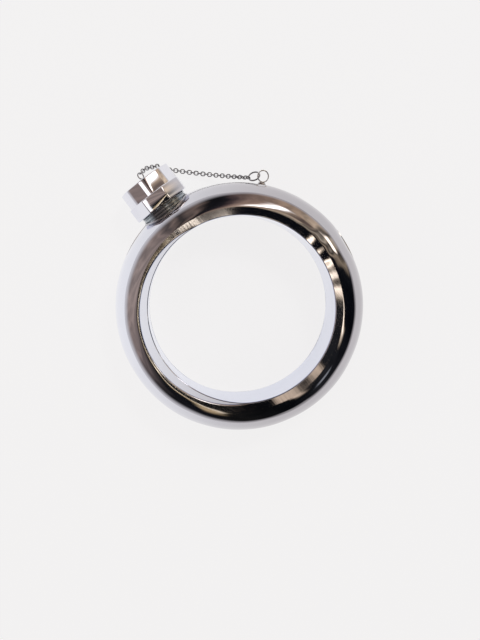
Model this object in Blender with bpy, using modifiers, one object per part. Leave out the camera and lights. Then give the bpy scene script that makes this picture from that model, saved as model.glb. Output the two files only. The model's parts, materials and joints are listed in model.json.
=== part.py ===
"""A bangle flask: a hollow drinking flask pressed as a ring, worn as a bracelet, with a faceted screw cap on a chain.

The flask lies on its flat rear crown, +Z along the ring's axis. The neck points along +Y.
Everything is drawn round the centre of the ring, at the flask's mid-depth where it is a neck piece, and
the whole model is then centred under one empty.
"""

import math

import bmesh
import bpy
from mathutils import Matrix, Vector

# Flask body, in metres
OUTER_RADIUS = 0.0500
BAND_RADIUS = 0.0366
DEPTH = 0.0280
SHELL_WALL = 0.0006
BAND_WALL = 0.0007
LAND_WIDTH = 0.0016
HEM_RADIUS = 0.0006
HEM_DEPTH = 0.0020
BAND_RECESS = 0.0005
GAP = 0.0003
RING_STEPS = 40
DOME_STEPS = 6

# Neck: heights are measured from the top of the dome, outwards along the neck's axis
NECK_RADIUS = 0.0080
NECK_WALL = 0.0010
NECK_HEIGHT = 0.0088
NECK_TUCK = 0.0006
COLLAR_WALL = 0.0017
COLLAR_HEIGHT = 0.0006
COLLAR_TUCK = 0.0013
COLLAR_GROOVES = 3
COLLAR_GROOVE_DEPTH = 0.0004
COLLAR_GROOVE_PITCH = 0.0012
NECK_STEPS = 24

# Thread: a rolled, round, right-hand thread
THREAD_PITCH = 0.0025
THREAD_RADIUS = 0.00055
THREAD_SINK = 0.00035
THREAD_TURNS = 1.6
THREAD_START = 0.0034
THREAD_CLEARANCE = 0.00025
THREAD_STEPS = 20

# Cap: its walls are measured at the middles of its faces
SKIRT_WALL = 0.0015
CROWN_WALL = 0.0008
SKIRT_HEIGHT = 0.0058
CROWN_HEIGHT = 0.0066
CAP_SIDES = 8
CAP_TURN = math.radians(-94)
CAP_TOP_WALL = 0.0008
CAP_EDGE = 0.0005
INSERT_WALL = 0.0006
INSERT_CLEARANCE = 0.00035
INSERT_WALL_TOP = 0.0008
INSERT_RECESS = 0.0004
LINER_THICKNESS = 0.0009

# Swivel in the top of the cap
STUD_RADIUS = 0.0008
STUD_HEAD_RADIUS = 0.0020
STUD_HEAD_HEIGHT = 0.0008
STUD_COLLAR_RADIUS = 0.0015
STUD_COLLAR_HEIGHT = 0.0004
STUD_HOLE_CLEARANCE = 0.00035
STUD_STEPS = 12
EYELET_RADIUS = 0.00135
EYELET_WIRE = 0.00050

# Eye on the flask, and the jump ring in it
EYE_ANGLE = math.radians(47)
EYE_RADIUS = 0.0023
EYE_WIRE = 0.0006
EYE_YAW = math.radians(20)
EYE_FOOT_LENGTH = 0.0026
EYE_FOOT_WIDTH = 0.0014
EYE_FOOT_HEIGHT = 0.0009
JUMP_SLACK = 0.0004
JUMP_LEAN = math.radians(10)
JUMP_ROLL = math.radians(-40)
JUMP_YAW = math.radians(-20)

# Chain
LINK_LENGTH = 0.00234
LINK_WIDTH = 0.00200
LINK_WIRE = 0.00042
LINK_SLACK = 0.00010
LINK_CORNERS = 8
HOOK_SLACK = 0.00017
TWIST_LINKS = 8
CHAIN_SAG = 0.0060
HOOK_ANGLE = math.radians(40)
DRAPE_ANGLE = math.radians(-45)
CHAIN_CLEAR = GAP + LINK_WIDTH / 2
EYELET_EXIT = (2.2 * CHAIN_CLEAR, 1.1 * CHAIN_CLEAR)
# the chain's way over the cap: share of the crown's corner radius, distance past it, height above the cap
OVER_CAP = (
    (0.58, 0.0, 2.3 * CHAIN_CLEAR),
    (1.0, -0.25 * CHAIN_CLEAR, 1.25 * CHAIN_CLEAR),
    (1.0, 1.3 * CHAIN_CLEAR, -0.5 * CHAIN_CLEAR),
)

# Worked out from the sizes above
MID = DEPTH / 2
HEM_SEAT = BAND_RADIUS + BAND_WALL + GAP
LAND_OUTER = HEM_SEAT + HEM_RADIUS + LAND_WIDTH
DOME_REACH = OUTER_RADIUS - LAND_OUTER
NECK_BASE = OUTER_RADIUS
NECK_TOP = NECK_BASE + NECK_HEIGHT
COLLAR_TOP = NECK_BASE + COLLAR_HEIGHT
COLLAR_RADIUS = NECK_RADIUS + GAP + COLLAR_WALL
# the collar and the neck reach down past the dome's skin beside them
COLLAR_ROOT = DOME_REACH * (1 - math.sqrt(1 - (COLLAR_RADIUS / MID) ** 2)) + COLLAR_TUCK
NECK_ROOT = COLLAR_ROOT + NECK_TUCK
CAP_BOTTOM = COLLAR_TOP + GAP
CAP_STEP = CAP_BOTTOM + SKIRT_HEIGHT
CAP_TOP = CAP_STEP + CROWN_HEIGHT
LINER_BOTTOM = NECK_TOP + GAP
INSERT_CEILING = LINER_BOTTOM + LINER_THICKNESS + GAP
INSERT_TOP = INSERT_CEILING + INSERT_WALL_TOP
THREAD_CREST = NECK_RADIUS + 2 * THREAD_RADIUS - THREAD_SINK
INSERT_RADIUS = THREAD_CREST + THREAD_CLEARANCE + INSERT_WALL
CAP_BORE_RADIUS = INSERT_RADIUS + GAP
SKIRT_FLATS = 2 * (CAP_BORE_RADIUS + SKIRT_WALL)
CROWN_FLATS = 2 * (CAP_BORE_RADIUS + CROWN_WALL)
STUD_COLLAR_BOTTOM = CAP_TOP + GAP
STUD_COLLAR_TOP = STUD_COLLAR_BOTTOM + STUD_COLLAR_HEIGHT
EYELET_CENTRE = STUD_COLLAR_TOP + EYELET_RADIUS
JUMP_SPACING = 2 * EYE_RADIUS - EYE_WIRE - JUMP_SLACK
LINK_PITCH = LINK_LENGTH - 2 * LINK_WIRE - LINK_SLACK


# Scene helpers


def clear_scene():
    for thing in list(bpy.data.objects):
        bpy.data.objects.remove(thing, do_unlink=True)


def make_collection(name):
    collection = bpy.data.collections.new(name)
    bpy.context.scene.collection.children.link(collection)
    return collection


def metal(name, colour, roughness, metallic=1.0):
    material = bpy.data.materials.new(name)
    material.use_nodes = True
    shader = material.node_tree.nodes["Principled BSDF"]
    shader.inputs["Base Color"].default_value = (*colour, 1.0)
    shader.inputs["Roughness"].default_value = roughness
    shader.inputs["Metallic"].default_value = metallic
    return material


def add_object(name, data, collection, parent, material=None):
    thing = bpy.data.objects.new(name, data)
    collection.objects.link(thing)
    thing.parent = parent
    if material and not data.materials:
        data.materials.append(material)
    return thing


def as_cutter(thing):
    thing.hide_render = True
    thing.display_type = "WIRE"
    return thing


def smooth(thing, angle=35):
    thing.data.shade_smooth()
    thing.data.set_sharp_from_angle(angle=math.radians(angle))


# Shape helpers


def turned(name, profile, steps, collection, parent, material=None):
    """A closed outline of (radius, height) points, listed down its outer side, turned about local Z."""
    mesh = bpy.data.meshes.new(name)
    points = [(radius, 0.0, height) for radius, height in profile]
    edges = [(i, (i + 1) % len(points)) for i in range(len(points))]
    mesh.from_pydata(points, edges, [])
    thing = add_object(name, mesh, collection, parent, material)
    screw = thing.modifiers.new("Turn", "SCREW")
    screw.steps = steps
    screw.render_steps = steps
    screw.use_merge_vertices = True
    screw.merge_threshold = 0.00001
    screw.use_smooth_shade = False
    return thing


def turned_disc(name, profile, steps, collection, parent, material=None):
    """An open outline that starts and ends on the axis, turned about local Z."""
    thing = turned(name, profile, steps, collection, parent, material)
    mesh = thing.data
    mesh.clear_geometry()
    points = [(radius, 0.0, height) for radius, height in profile]
    mesh.from_pydata(points, [(i, i + 1) for i in range(len(points) - 1)], [])
    return thing


def cylinder(name, radius, bottom, top, sides, collection, parent, turn=0.0, material=None):
    """A closed prism or cylinder about local Z, its first corner at the angle turn."""
    bpy.ops.mesh.primitive_cylinder_add(vertices=sides, radius=radius, depth=top - bottom)
    made = bpy.context.object
    mesh = made.data
    # the primitive's first corner lies on +Y
    mesh.transform(Matrix.Rotation(turn - math.pi / 2, 4, "Z"))
    mesh.transform(Matrix.Translation((0, 0, (bottom + top) / 2)))
    bpy.data.objects.remove(made, do_unlink=True)
    mesh.name = name
    return add_object(name, mesh, collection, parent, material)


def torus(name, radius, wire, place, collection, parent, material=None, sides=6, steps=16):
    bpy.ops.mesh.primitive_torus_add(
        major_radius=radius, minor_radius=wire / 2, major_segments=steps, minor_segments=sides
    )
    made = bpy.context.object
    mesh = made.data
    mesh.transform(place)
    bpy.data.objects.remove(made, do_unlink=True)
    mesh.name = name
    return add_object(name, mesh, collection, parent, material)


def boolean(thing, cutter, operation="DIFFERENCE"):
    modifier = thing.modifiers.new(cutter.name, "BOOLEAN")
    modifier.operation = operation
    modifier.solver = "EXACT"
    modifier.object = cutter


def bevel(thing, width):
    modifier = thing.modifiers.new("Edges", "BEVEL")
    modifier.width = width
    modifier.segments = 1
    modifier.limit_method = "ANGLE"


def helix(name, radius, wire_radius, start, end, collection, parent):
    """A right-hand helical rod about local Z, in phase with every other helix of the thread."""
    turns = (end - start) / THREAD_PITCH
    count = round(turns * THREAD_STEPS) + 1
    curve = bpy.data.curves.new(name, "CURVE")
    curve.dimensions = "3D"
    spline = curve.splines.new("POLY")
    spline.points.add(count - 1)
    for i in range(count):
        height = start + (end - start) * i / (count - 1)
        angle = math.tau * (height - NECK_BASE) / THREAD_PITCH
        point = (radius * math.cos(angle), radius * math.sin(angle), height, 1.0)
        spline.points[i].co = point
    curve.bevel_depth = wire_radius
    curve.bevel_resolution = 1
    curve.use_fill_caps = True
    drawn = add_object(name + "_curve", curve, collection, None)
    mesh = mesh_of_curve(drawn, name)
    return as_cutter(add_object(name, mesh, collection, parent))


def mesh_of_curve(drawn, name):
    """A curve object's solid as a mesh with its caps welded; the curve is removed."""
    bpy.context.view_layer.update()
    graph = bpy.context.evaluated_depsgraph_get()
    mesh = bpy.data.meshes.new_from_object(drawn.evaluated_get(graph))
    mesh.name = name
    form = bmesh.new()
    form.from_mesh(mesh)
    bmesh.ops.remove_doubles(form, verts=form.verts, dist=0.000005)
    form.to_mesh(mesh)
    form.free()
    bpy.data.objects.remove(drawn, do_unlink=True)
    return mesh


# Flask body


def dome_outline():
    """Half of the section of the ring's skin, above mid-depth, listed down the outer side and back up inside."""
    def dome(offset):
        quarter = [math.pi / 2 * i / DOME_STEPS for i in range(DOME_STEPS + 1)]
        return [
            (
                LAND_OUTER + (DOME_REACH - offset) * math.sin(a),
                MID + (MID - offset) * math.cos(a),
            )
            for a in quarter[:-1]
        ] + [(OUTER_RADIUS - offset, MID + GAP / 2)]

    outer = dome(0.0)
    inner = dome(SHELL_WALL)[::-1]
    rounding = HEM_RADIUS * (1 - math.sqrt(0.5))
    hem_edge = [
        (HEM_SEAT + SHELL_WALL, DEPTH - HEM_RADIUS - SHELL_WALL),
        (HEM_SEAT + SHELL_WALL, DEPTH - HEM_DEPTH),
        (HEM_SEAT, DEPTH - HEM_DEPTH),
        (HEM_SEAT, DEPTH - HEM_RADIUS),
        (HEM_SEAT + rounding, DEPTH - rounding),
        (HEM_SEAT + HEM_RADIUS, DEPTH),
    ]
    return outer + inner + hem_edge


def make_shells(collection, cutters, frame, neck, material):
    hole = cylinder(
        "neck_hole",
        COLLAR_RADIUS + GAP,
        NECK_BASE - COLLAR_ROOT - SHELL_WALL,
        CAP_TOP,
        NECK_STEPS,
        cutters,
        neck,
    )
    as_cutter(hole)
    front_outline = dome_outline()
    rear_outline = [(radius, DEPTH - height) for radius, height in reversed(front_outline)]
    for name, outline in (("front_shell", front_outline), ("rear_shell", rear_outline)):
        shell = turned(name, outline, RING_STEPS, collection, frame, material)
        boolean(shell, hole)


def make_inner_band(collection, frame, material):
    outer = BAND_RADIUS + BAND_WALL
    low = BAND_RECESS
    high = DEPTH - BAND_RECESS
    edge = BAND_WALL / 2
    outline = [
        (outer, high),
        (outer, low),
        (BAND_RADIUS + edge, low),
        (BAND_RADIUS, low + edge),
        (BAND_RADIUS, high - edge),
        (BAND_RADIUS + edge, high),
    ]
    turned("inner_band", outline, RING_STEPS, collection, frame, material)


# Neck


def make_neck(collection, cutters, neck, material):
    bore = NECK_RADIUS - NECK_WALL
    root = NECK_BASE - NECK_ROOT
    outline = [(NECK_RADIUS, NECK_TOP), (NECK_RADIUS, root), (bore, root), (bore, NECK_TOP)]
    tube = turned("neck_tube", outline, NECK_STEPS, collection, neck, material)
    start = NECK_BASE + THREAD_START
    end = start + THREAD_TURNS * THREAD_PITCH
    rod_radius = THREAD_CREST - THREAD_RADIUS
    thread = helix("neck_thread", rod_radius, THREAD_RADIUS, start, end, cutters, neck)
    boolean(tube, thread, "UNION")


def make_collar(collection, neck, material):
    inner = NECK_RADIUS + GAP
    outline = [(COLLAR_RADIUS, COLLAR_TOP)]
    height = COLLAR_TOP - COLLAR_GROOVE_PITCH / 2
    for _ in range(COLLAR_GROOVES):
        outline += [
            (COLLAR_RADIUS, height + COLLAR_GROOVE_DEPTH / 2),
            (COLLAR_RADIUS - COLLAR_GROOVE_DEPTH, height),
            (COLLAR_RADIUS, height - COLLAR_GROOVE_DEPTH / 2),
        ]
        height -= COLLAR_GROOVE_PITCH
    root = NECK_BASE - COLLAR_ROOT
    outline += [(COLLAR_RADIUS, root), (inner, root), (inner, COLLAR_TOP)]
    turned("neck_collar", outline, NECK_STEPS, collection, neck, material)


# Cap


def corner_radius(flats):
    return flats / 2 / math.cos(math.pi / CAP_SIDES)


def make_cap_shell(collection, cutters, neck, material):
    """Two stacked prisms, the crown's corners standing over the middles of the skirt's faces."""
    half_side = math.pi / CAP_SIDES
    shell = cylinder(
        "cap_shell",
        corner_radius(SKIRT_FLATS),
        CAP_BOTTOM,
        CAP_STEP,
        CAP_SIDES,
        collection,
        neck,
        CAP_TURN + half_side,
        material,
    )
    bevel(shell, CAP_EDGE)
    crown = cylinder(
        "cap_crown",
        corner_radius(CROWN_FLATS),
        CAP_STEP - SKIRT_HEIGHT / 2,
        CAP_TOP,
        CAP_SIDES,
        cutters,
        neck,
        CAP_TURN,
    )
    bevel(crown, CAP_EDGE)
    boolean(shell, as_cutter(crown), "UNION")
    bore = cylinder(
        "cap_bore",
        CAP_BORE_RADIUS,
        CAP_BOTTOM - SKIRT_HEIGHT / 2,
        CAP_TOP - CAP_TOP_WALL,
        NECK_STEPS,
        cutters,
        neck,
    )
    boolean(shell, as_cutter(bore))
    stud_hole = cylinder(
        "stud_hole",
        STUD_RADIUS + STUD_HOLE_CLEARANCE,
        CAP_TOP - 2 * CAP_TOP_WALL,
        CAP_TOP + CAP_TOP_WALL,
        STUD_STEPS,
        cutters,
        neck,
    )
    boolean(shell, as_cutter(stud_hole))


def make_cap_insert(collection, cutters, neck, material):
    """The moulded cup inside the cap, with the female thread."""
    bottom = CAP_BOTTOM + INSERT_RECESS
    bore = NECK_RADIUS + INSERT_CLEARANCE
    outline = [
        (0.0, INSERT_TOP),
        (INSERT_RADIUS, INSERT_TOP),
        (INSERT_RADIUS, bottom),
        (bore, bottom),
        (bore, INSERT_CEILING),
        (0.0, INSERT_CEILING),
    ]
    cup = turned_disc("cap_insert", outline, NECK_STEPS, collection, neck, material)
    rod_radius = THREAD_CREST - THREAD_RADIUS
    thread_end = NECK_BASE + THREAD_START + THREAD_TURNS * THREAD_PITCH
    groove = helix(
        "cap_thread",
        rod_radius,
        THREAD_RADIUS + THREAD_CLEARANCE,
        bottom - THREAD_PITCH / 2,
        thread_end + THREAD_PITCH / 4,
        cutters,
        neck,
    )
    boolean(cup, groove)


def make_liner(collection, neck, material):
    radius = NECK_RADIUS
    outline = [
        (0.0, LINER_BOTTOM + LINER_THICKNESS),
        (radius, LINER_BOTTOM + LINER_THICKNESS),
        (radius, LINER_BOTTOM),
        (0.0, LINER_BOTTOM),
    ]
    turned_disc("cap_liner", outline, NECK_STEPS, collection, neck, material)


def make_swivel(collection, cutters, neck, material):
    """A stud that turns freely in the cap's top: a head inside, a collar and an eyelet outside."""
    head_bottom = INSERT_TOP + GAP
    outline = [
        (0.0, STUD_COLLAR_TOP),
        (STUD_COLLAR_RADIUS, STUD_COLLAR_TOP),
        (STUD_COLLAR_RADIUS, STUD_COLLAR_BOTTOM),
        (STUD_RADIUS, STUD_COLLAR_BOTTOM),
        (STUD_RADIUS, head_bottom + STUD_HEAD_HEIGHT),
        (STUD_HEAD_RADIUS, head_bottom + STUD_HEAD_HEIGHT),
        (STUD_HEAD_RADIUS, head_bottom),
        (0.0, head_bottom),
    ]
    stud = turned_disc("cap_swivel", outline, STUD_STEPS, collection, neck, material)
    stand = Matrix.Rotation(-DRAPE_ANGLE, 4, "Z") @ Matrix.Rotation(math.pi / 2, 4, "X")
    place = Matrix.Translation((0, 0, EYELET_CENTRE)) @ stand
    eyelet = torus("swivel_eyelet", EYELET_RADIUS, EYELET_WIRE, place, cutters, neck)
    boolean(stud, as_cutter(eyelet), "UNION")


# Eye and jump ring


def eye_directions():
    """The outward and the sideways direction at the eye, and the line from the jump ring to the eye."""
    out = Vector((math.sin(EYE_ANGLE), math.cos(EYE_ANGLE), 0.0))
    side = Vector((math.cos(EYE_ANGLE), -math.sin(EYE_ANGLE), 0.0))
    line = Matrix.Rotation(JUMP_LEAN, 3, "Z") @ side
    return out, side, line


def eye_centre():
    out, _, _ = eye_directions()
    stand = GAP + EYE_FOOT_HEIGHT / 2 + EYE_RADIUS
    return out * (OUTER_RADIUS + stand) + Vector((0, 0, MID))


def jump_centre():
    _, _, line = eye_directions()
    return eye_centre() - line * JUMP_SPACING


def ring_place(centre, along, across):
    """A placement whose local X runs along one direction and whose local Y lies nearest another."""
    x = along.normalized()
    y = (across - x * across.dot(x)).normalized()
    z = x.cross(y)
    place = Matrix((x, y, z)).transposed().to_4x4()
    place.translation = centre
    return place


def eye_place():
    out, side, _ = eye_directions()
    yawed = Matrix.Rotation(EYE_YAW, 3, out) @ side
    return ring_place(eye_centre(), yawed, out)


def jump_place():
    out, _, line = eye_directions()
    rolled = Matrix.Rotation(JUMP_ROLL, 3, line) @ out
    yawed = Matrix.Rotation(JUMP_YAW, 3, rolled) @ line
    return ring_place(jump_centre(), yawed, rolled)


def make_eye(collection, cutters, frame, material):
    out, side, _ = eye_directions()
    eye = torus("body_eye", EYE_RADIUS, EYE_WIRE, eye_place(), collection, frame, material)
    yawed = Matrix.Rotation(EYE_YAW, 3, out) @ side
    centre = out * (OUTER_RADIUS + GAP + EYE_FOOT_HEIGHT / 2) + Vector((0, 0, MID))
    foot = cylinder("eye_foot", math.sqrt(0.5), -0.5, 0.5, 4, cutters, frame, math.pi / 4)
    sizes = Matrix.Diagonal((EYE_FOOT_LENGTH, EYE_FOOT_HEIGHT, EYE_FOOT_WIDTH, 1.0))
    foot.data.transform(ring_place(centre, yawed, out) @ sizes)
    boolean(eye, as_cutter(foot), "UNION")


def make_jump_ring(collection, frame, material):
    torus("jump_ring", EYE_RADIUS, EYE_WIRE, jump_place(), collection, frame, material)


# Chain


def drape(radial, height, angle=DRAPE_ANGLE):
    """A point beside the cap's axis, on the side that faces down and towards the eye."""
    return Vector((radial * math.cos(angle), height, MID + radial * math.sin(angle)))


def chain_ends():
    """The middle of the swivel eyelet's wire and of the jump ring's wire, where the chain hooks in."""
    hook = drape(
        EYELET_RADIUS * math.cos(HOOK_ANGLE),
        EYELET_CENTRE + EYELET_RADIUS * math.sin(HOOK_ANGLE),
    )
    last = jump_place() @ Vector((-EYE_RADIUS, 0, 0))
    return hook, last


def chain_route():
    """Out of the swivel, over the cap's edge, then hanging to the jump ring in a shallow curve."""
    hook, last = chain_ends()
    rim = corner_radius(CROWN_FLATS)
    out, up = EYELET_EXIT
    over = [drape(EYELET_RADIUS + out, EYELET_CENTRE + up)]
    over += [drape(rim * share + past, CAP_TOP + above) for share, past, above in OVER_CAP]
    off_cap = over[-1]
    hanging = []
    for share in (0.2, 0.4, 0.6, 0.8):
        point = off_cap.lerp(last, share)
        point.z -= 4 * CHAIN_SAG * share * (1 - share)
        hanging.append(point)
    return [hook, *over, *hanging, last]


def smooth_path(points, steps=24):
    """A Catmull-Rom curve through the points, finely sampled."""
    padded = [2 * points[0] - points[1], *points, 2 * points[-1] - points[-2]]
    path = []
    for before, a, b, after in zip(padded, padded[1:], padded[2:], padded[3:]):
        for i in range(steps):
            t = i / steps
            path.append(
                0.5
                * (
                    2 * a
                    + (b - before) * t
                    + (2 * before - 5 * a + 4 * b - after) * t**2
                    + (3 * a - before - 3 * b + after) * t**3
                )
            )
    return [*path, points[-1]]


def along_path(path, distance):
    """The point at a distance along the sampled path, run on straight past either end."""
    walked = 0.0
    for a, b in zip(path, path[1:]):
        step = (b - a).length
        if walked + step >= distance or b is path[-1]:
            return a.lerp(b, (distance - walked) / step) if step else a.copy()
        walked += step
    return path[-1].copy()


def link_places():
    """Each link's placement: local X along the chain, every second link turned a quarter."""
    path = smooth_path(chain_route())
    length = sum((b - a).length for a, b in zip(path, path[1:]))
    # the end links hold the eyelet's and the jump ring's wire inside them
    first_hold = (EYELET_WIRE + LINK_SLACK) / 2
    last_hold = (LINK_LENGTH - LINK_WIRE) / 2 - (LINK_WIRE + EYE_WIRE) / 2 - HOOK_SLACK
    gaps = round((length - first_hold - last_hold) / LINK_PITCH)
    if gaps % 2:
        gaps -= 1
    pitch = (length - first_hold - last_hold) / gaps
    first_wire = drape(1, 0) - Vector((0, 0, MID))
    first_wire = first_wire * -math.sin(HOOK_ANGLE) + Vector((0, math.cos(HOOK_ANGLE), 0))
    last_wire = jump_place().to_3x3() @ Vector((0, 1, 0))
    places = []
    for i in range(gaps + 1):
        distance = first_hold + i * pitch
        centre = along_path(path, distance)
        tangent = along_path(path, distance + pitch / 2) - along_path(path, distance - pitch / 2)
        level = Vector((0, 0, 1)).cross(tangent).normalized()
        through = level
        for wire, steps in ((first_wire, i), (last_wire, gaps - i)):
            share = max(0.0, 1 - steps / TWIST_LINKS)
            through = through.lerp(wire if wire.dot(level) > 0 else -wire, share)
        across = tangent.cross(through)
        places.append(ring_place(centre, tangent, across if i % 2 == 0 else through))
    return places


def link_curve(material):
    """One link's wire: a closed loop of two rounded ends, shared by every link."""
    curve = bpy.data.curves.new("chain_link", "CURVE")
    curve.dimensions = "3D"
    end_radius = (LINK_WIDTH - LINK_WIRE) / 2
    straight = (LINK_LENGTH - LINK_WIDTH) / 2
    corner = end_radius / math.cos(math.pi / LINK_CORNERS)
    angles = [math.tau * (i + 0.5) / LINK_CORNERS for i in range(LINK_CORNERS)]
    spline = curve.splines.new("POLY")
    spline.points.add(len(angles) - 1)
    for point, angle in zip(spline.points, angles):
        x = corner * math.cos(angle)
        point.co = (x + math.copysign(straight, x), corner * math.sin(angle), 0.0, 1.0)
    spline.use_cyclic_u = True
    curve.bevel_depth = LINK_WIRE / 2
    curve.bevel_resolution = 1
    curve.materials.append(material)
    return curve


def make_chain(collection, frame, material):
    curve = link_curve(material)
    for number, place in enumerate(link_places(), 1):
        link = add_object(f"link_{number:02d}", curve, collection, frame)
        link.matrix_local = place


# The whole flask


def centre_on_origin(frame, solids):
    """Moves the frame so that the middle of the model's footprint is at the origin."""
    bpy.context.view_layer.update()
    graph = bpy.context.evaluated_depsgraph_get()
    points = []
    for thing in solids:
        shown = thing.evaluated_get(graph)
        points += [shown.matrix_world @ v.co for v in shown.to_mesh().vertices]
        shown.to_mesh_clear()
    for axis in (0, 1):
        values = [point[axis] for point in points]
        frame.location[axis] = -(min(values) + max(values)) / 2
    bpy.context.view_layer.update()


def main():
    clear_scene()
    flask = make_collection("bangle_flask")
    cutters = make_collection("cutters")
    frame = add_object("flask_frame", None, flask, None)
    neck = add_object("neck_axis", None, flask, frame)
    neck.location.z = MID
    neck.rotation_euler.x = -math.pi / 2
    bpy.context.view_layer.update()

    polished = metal("polished_steel", (0.74, 0.73, 0.74), 0.06)
    band_steel = metal("band_steel", (0.78, 0.79, 0.81), 0.10)
    neck_steel = metal("neck_steel", (0.62, 0.62, 0.63), 0.18)
    cap_steel = metal("cap_steel", (0.76, 0.75, 0.75), 0.07)
    insert_plastic = metal("insert_plastic", (0.05, 0.05, 0.055), 0.4, 0.0)
    liner_rubber = metal("liner_rubber", (0.82, 0.82, 0.80), 0.7, 0.0)
    chain_steel = metal("chain_steel", (0.60, 0.60, 0.60), 0.15)

    make_shells(flask, cutters, frame, neck, polished)
    make_inner_band(flask, frame, band_steel)
    make_neck(flask, cutters, neck, neck_steel)
    make_collar(flask, neck, neck_steel)
    make_cap_shell(flask, cutters, neck, cap_steel)
    make_cap_insert(flask, cutters, neck, insert_plastic)
    make_liner(flask, neck, liner_rubber)
    make_swivel(flask, cutters, neck, chain_steel)
    make_eye(flask, cutters, frame, chain_steel)
    make_jump_ring(flask, frame, chain_steel)
    make_chain(flask, frame, chain_steel)
    solids = [thing for thing in flask.objects if thing.type != "EMPTY"]
    for thing in solids:
        if thing.type == "MESH":
            smooth(thing)
    centre_on_origin(frame, solids)


main()
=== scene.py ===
# bangle flask: polished steel ring, faceted cap and fine chain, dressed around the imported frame
import json
import math

import bmesh
import bpy
import numpy as np
from mathutils import Matrix, Vector


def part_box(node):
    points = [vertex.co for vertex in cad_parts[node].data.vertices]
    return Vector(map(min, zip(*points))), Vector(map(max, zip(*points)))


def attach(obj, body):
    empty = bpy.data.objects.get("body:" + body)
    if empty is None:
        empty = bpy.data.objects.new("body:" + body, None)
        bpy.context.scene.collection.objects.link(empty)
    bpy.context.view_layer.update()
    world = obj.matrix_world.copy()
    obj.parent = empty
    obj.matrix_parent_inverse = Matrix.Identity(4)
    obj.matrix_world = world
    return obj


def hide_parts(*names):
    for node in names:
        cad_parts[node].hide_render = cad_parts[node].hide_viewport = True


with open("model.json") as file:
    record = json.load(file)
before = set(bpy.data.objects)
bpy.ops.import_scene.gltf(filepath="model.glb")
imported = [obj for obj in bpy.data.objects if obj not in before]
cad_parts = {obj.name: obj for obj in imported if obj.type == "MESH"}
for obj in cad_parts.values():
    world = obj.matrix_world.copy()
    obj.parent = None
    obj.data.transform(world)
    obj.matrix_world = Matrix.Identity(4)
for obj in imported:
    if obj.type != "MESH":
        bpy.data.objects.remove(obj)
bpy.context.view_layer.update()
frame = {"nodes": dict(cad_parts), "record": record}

nodes = frame["nodes"]
print("frame is in")

# places that everything else hangs on, all from the frame
bandLow, bandHigh = (Vector(v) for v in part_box("inner_band"))
shellLow, shellHigh = (Vector(v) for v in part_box("front_shell"))
rearLow = Vector(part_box("rear_shell")[0])
capLow, capHigh = (Vector(v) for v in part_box("cap_shell"))
collarLow, collarHigh = (Vector(v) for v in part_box("neck_collar"))
tubeLow, tubeHigh = (Vector(v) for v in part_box("neck_tube"))
swivelLow, swivelHigh = (Vector(v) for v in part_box("cap_swivel"))
centre = Vector(((bandLow.x + bandHigh.x) / 2, (bandLow.y + bandHigh.y) / 2, 0))
bandWall = 0.0007
bandRadius = (bandHigh.x - bandLow.x) / 2 - bandWall
outerRadius = (shellHigh.x - shellLow.x) / 2
depth = shellHigh.z - rearLow.z
middle = rearLow.z + depth / 2
neckFrame = Matrix.Translation(centre + Vector((0, 0, middle))) @ Matrix.Rotation(-math.pi / 2, 4, "X")

# the flask is seen with its neck turned a little left of straight up
viewTurn = math.radians(37)
viewRight = Vector((math.cos(viewTurn), -math.sin(viewTurn), 0))
viewUp = Vector((math.sin(viewTurn), math.cos(viewTurn), 0))


class Value:
    # a shader socket that can stand in a sum
    def __init__(self, shade, socket):
        self.shade, self.socket = shade, socket

    def __add__(self, other):
        return self.shade.maths("ADD", self, other)

    def __radd__(self, other):
        return self.shade.maths("ADD", other, self)

    def __sub__(self, other):
        return self.shade.maths("SUBTRACT", self, other)

    def __rsub__(self, other):
        return self.shade.maths("SUBTRACT", other, self)

    def __mul__(self, other):
        return self.shade.maths("MULTIPLY", self, other)

    def __rmul__(self, other):
        return self.shade.maths("MULTIPLY", other, self)


class Shade:
    # a node tree that is being filled
    def __init__(self, tree):
        self.tree = tree

    def plug(self, slot, item):
        if isinstance(item, Value):
            self.tree.links.new(item.socket, slot)
        else:
            slot.default_value = item

    def node(self, kind, settings=None, inputs=None, output=0):
        made = self.tree.nodes.new(kind)
        for name, value in (settings or {}).items():
            if name == "stops":
                ramp = made.color_ramp
                while len(ramp.elements) < len(value):
                    ramp.elements.new(0.5)
                for element, (place, colour) in zip(ramp.elements, value):
                    element.position, element.color = place, (*colour, 1)
            else:
                setattr(made, name, value)
        for name, value in (inputs or {}).items():
            self.plug(made.inputs[name], value)
        return Value(self, made.outputs[output]) if made.outputs else None

    def maths(self, operation, *values):
        return self.node("ShaderNodeMath", {"operation": operation}, dict(enumerate(values)))

    def vectors(self, operation, first, second):
        return self.node("ShaderNodeVectorMath", {"operation": operation}, {0: first, 1: second})

    def mix(self, factor, first, second):
        inputs = {0: factor}
        for place, value in ((6, first), (7, second)):
            inputs[place] = value if isinstance(value, Value) else (*value, 1)
        return self.node("ShaderNodeMix", {"data_type": "RGBA"}, inputs, output=2)

    def smooth(self, value, low, high):
        inputs = {"Value": value, "From Min": low, "From Max": high}
        return self.node("ShaderNodeMapRange", {"interpolation_type": "SMOOTHSTEP"}, inputs)

    def noise(self, vector, scale, detail=2.0):
        return self.node("ShaderNodeTexNoise", None, {"Vector": vector, "Scale": scale, "Detail": detail})

    def split(self, vector):
        made = self.node("ShaderNodeSeparateXYZ", None, {0: vector})
        return [Value(self, socket) for socket in made.socket.node.outputs]


def newObject(name, mesh, material=None):
    thing = bpy.data.objects.new(name, mesh)
    bpy.context.scene.collection.objects.link(thing)
    if material:
        mesh.materials.append(material)
    return thing


def settle(name, body, replaced=()):
    # says where a finished piece belongs
    piece = bpy.data.objects[name]
    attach(piece, body)
    if replaced:
        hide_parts(*replaced)


def soften(mesh, angle=32):
    mesh.shade_smooth()
    mesh.set_sharp_from_angle(angle=math.radians(angle))


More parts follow.
